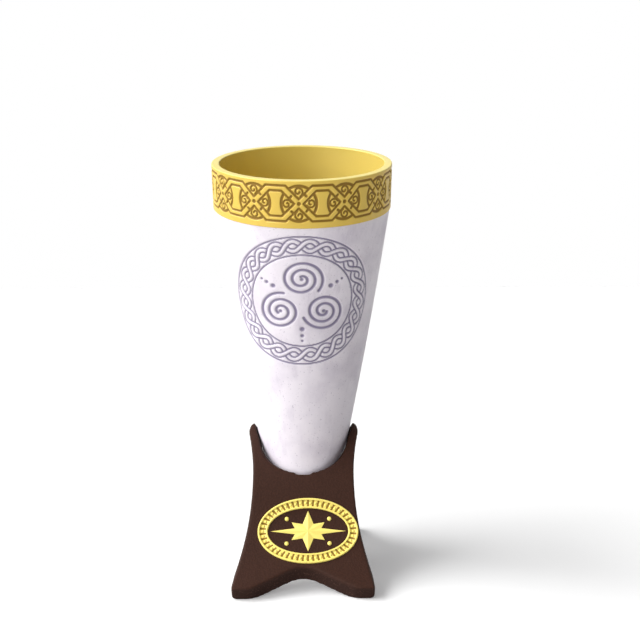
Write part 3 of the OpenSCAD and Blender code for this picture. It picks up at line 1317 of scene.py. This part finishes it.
    def build_star(self, material: bpy.types.Material) -> None:
        """Builds the faceted star and the four dots round it.

        Args:
            material: The badge's material.
        """
        long_w, long_h = self.half_w - self.star_gap, self.half_h - self.star_gap
        corners = 16
        turn = np.arange(corners) * TURN / corners
        reach = np.resize([1.0, self.star_notch, self.star_short, self.star_notch], corners)
        across, up = long_w * reach * np.cos(turn), long_h * reach * np.sin(turn)
        edge = self._lay(across, up, np.full(corners, self.star_edge))
        base = self._lay(across, up, np.full(corners, self.sunk))
        crown = self._lay(np.zeros(1), np.zeros(1), np.full(1, self.thickness))
        points = [*edge, *base, *crown]
        faces = [[i, (i + 1) % corners, 2 * corners] for i in range(corners)]
        faces += [[i, i + corners, (i + 1) % corners + corners, (i + 1) % corners] for i in range(corners)]
        faces.append(list(range(2 * corners - 1, corners - 1, -1)))
        dot_w, dot_h = self.dot_place
        for place in TURN / 8 + np.arange(4) * TURN / 4:
            self._add_dot(points, faces, dot_w * long_w * math.cos(place), dot_h * long_h * math.sin(place))
        piece = make_piece("badge_star", np.array(points), faces, material, crease=self.star_crease)
        attach(piece, Body.STAND, Slot.BADGE, "badge_motif")

    def _add_dot(self, points: list[np.ndarray], faces: list[list[int]], across: float, up: float) -> None:
        """Adds a domed dot to lists of points and faces.

        Args:
            points: The points so far.
            faces: The faces so far.
            across: Place of the dot across the badge.
            up: Place of the dot up the badge.
        """
        sides, first = self.dot_sides, len(points)
        turn = np.linspace(0.0, TURN, sides, endpoint=False)
        for share, lift in zip(self.dot_radii, self.dot_lifts):
            ring = polar(self.dot_r * share, turn) + (across, up)
            points.extend(self._lay(*ring.T, np.full(sides, lift)))
        faces.extend((grid_faces(len(self.dot_radii), sides) + first).tolist())
        top = len(points) - sides
        faces.append(list(range(top, top + sides)))
        faces.append(list(range(first + sides - 1, first - 1, -1)))

    def build(self) -> None:
        """Builds the whole badge."""
        material = self.finish.material()
        self.build_border(material)
        self.build_beads(material)
        self.build_star(material)


@dataclass
class Studio:
    """Floor, light and camera."""

    lens: float = 45.0
    camera_place: tuple[float, float, float] = (4.2 * MM, -395.6 * MM, 144.5 * MM)
    camera_turn: tuple[float, ...] = tuple(map(math.radians, (87, 0.2, -0.62)))
    world_strength: float = 0.3
    world_fall: float = 0.7
    sun_heading: tuple[float, float, float] = (-0.75, -0.12, 0.65)
    sun_strength: float = 2.95
    sun_softness: float = math.radians(44)
    side_heading: tuple[float, float, float] = (-0.66, -0.72, 0.3)
    side_distance: float = 1.0
    side_power: float = 4.9
    side_size: float = 0.7
    floor_half: float = 12.0
    floor_albedo: float = 0.9
    floor_bounce: float = 0.6
    floor_glow: float = 0.22
    target: tuple[float, float, float] = (0.0, 0.0, 0.09)

    def build(self) -> None:
        """Builds floor, world, lamps and camera."""
        bpy.context.scene.view_settings.view_transform = "Standard"
        self._world()
        self._floor()
        self._lamps()
        self._camera()

    @staticmethod
    def _seen(graph: Graph) -> Signal:
        """A signal that is 1 for what the camera sees, straight, mirrored or through glass.

        Args:
            graph: The graph to add its nodes to.

        Returns:
            The signal.
        """
        signal, *others = (
            graph.node("ShaderNodeLightPath", output=name)
            for name in ("Is Camera Ray", "Is Glossy Ray", "Is Transmission Ray"))
        for other in others:
            signal = graph.node("ShaderNodeMath", {"operation": "MAXIMUM"}, {0: signal, 1: other})
        return signal

    def _world(self) -> None:
        """Makes a soft world that looks white and lights more from the left than from the right."""
        world = bpy.data.worlds.new("studio_world")
        world.use_nodes = True
        graph = Graph(world.node_tree)
        heading = graph.node("ShaderNodeTexCoord", output="Generated")
        strength = graph.node("ShaderNodeMapRange", inputs={
            "Value": graph.node("ShaderNodeSeparateXYZ", inputs={0: heading}, output="X"),
            "From Min": -1.0,
            "From Max": 1.0,
            "To Min": self.world_strength * (1 + self.world_fall),
            "To Max": self.world_strength * (1 - self.world_fall),
        })
        light = graph.node("ShaderNodeBackground", inputs={"Color": WHITE, "Strength": strength})
        backdrop = graph.node("ShaderNodeBackground", inputs={"Color": WHITE})
        both = graph.node("ShaderNodeMixShader", inputs={0: self._seen(graph), 1: light, 2: backdrop})
        graph.end("ShaderNodeOutputWorld", both)
        bpy.context.scene.world = world

    def _floor(self) -> None:
        """Makes a pale floor that keeps the object's shadow."""
        graph = SurfaceGraph("studio_floor")
        seen = self._seen(graph)
        albedo = graph.node("ShaderNodeMapRange", inputs={
            "Value": seen, "To Min": self.floor_bounce, "To Max": self.floor_albedo})
        diffuse = graph.node("ShaderNodeBsdfDiffuse", inputs={"Color": albedo})
        glow = graph.node("ShaderNodeEmission", inputs={"Strength": seen * self.floor_glow})
        graph.end("ShaderNodeOutputMaterial", graph.node("ShaderNodeAddShader", inputs={0: diffuse, 1: glow}))
        half = self.floor_half
        corners = [(-half, -half, 0), (half, -half, 0), (half, half, 0), (-half, half, 0)]
        mesh = bpy.data.meshes.new("studio_floor")
        mesh.from_pydata(corners, [], [(0, 1, 2, 3)])
        mesh.materials.append(graph.material)
        floor = add_object("studio_floor", mesh)

    @staticmethod
    def _lamp(name: str, kind: str, power: float, heading: Sequence[float]) -> bpy.types.Object:
        """Hangs a lamp that shines against its heading.

        Args:
            name: Name of the lamp.
            kind: Blender's name of its type.
            power: Its strength.
            heading: Direction from the object to the lamp.

        Returns:
            The new lamp.
        """
        lamp = add_object(name, bpy.data.lights.new(name, kind))
        lamp.data.energy = power
        lamp.rotation_euler = Vector(heading).to_track_quat("Z", "Y").to_euler()
        return lamp

    def _lamps(self) -> None:
        """Hangs a soft far lamp for object and floor alike, and a round lamp beside the object."""
        sun = self._lamp("key_lamp", "SUN", self.sun_strength, self.sun_heading)
        sun.data.angle = self.sun_softness
        side = self._lamp("side_lamp", "AREA", self.side_power, self.side_heading)
        side.data.shape = "DISK"
        side.data.size = self.side_size
        side.location = Vector(self.target) + Vector(self.side_heading).normalized() * self.side_distance

    def _camera(self) -> None:
        """Sets the camera where the photograph was taken from."""
        camera = add_object("studio_camera", bpy.data.cameras.new("studio_camera"))
        camera.data.lens = self.lens
        camera.location = self.camera_place
        camera.rotation_euler = self.camera_turn
        bpy.context.scene.camera = camera


def dress_bedding() -> None:
    """Gives the hidden bedding its finish."""
    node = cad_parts["collar_bedding"]
    node.data.materials.clear()
    node.data.materials.append(BeddingFinish().material())


def main() -> None:
    logging.basicConfig(level=logging.INFO, format="%(name)s: %(message)s")
    low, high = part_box("stand_saddle")
    saddle_y = (low.y + high.y) / 2
    curve, bend = HornCurve(saddle_y), SaddleBend(saddle_y)
    EngravedHorn(curve).build()
    CupLining(curve).build()
    KnotworkCollar(curve).build()
    LeatherSaddle(bend).build()
    StarBadge(bend).build()
    dress_bedding()
    Studio().build()


if __name__ == "__main__":
    main()
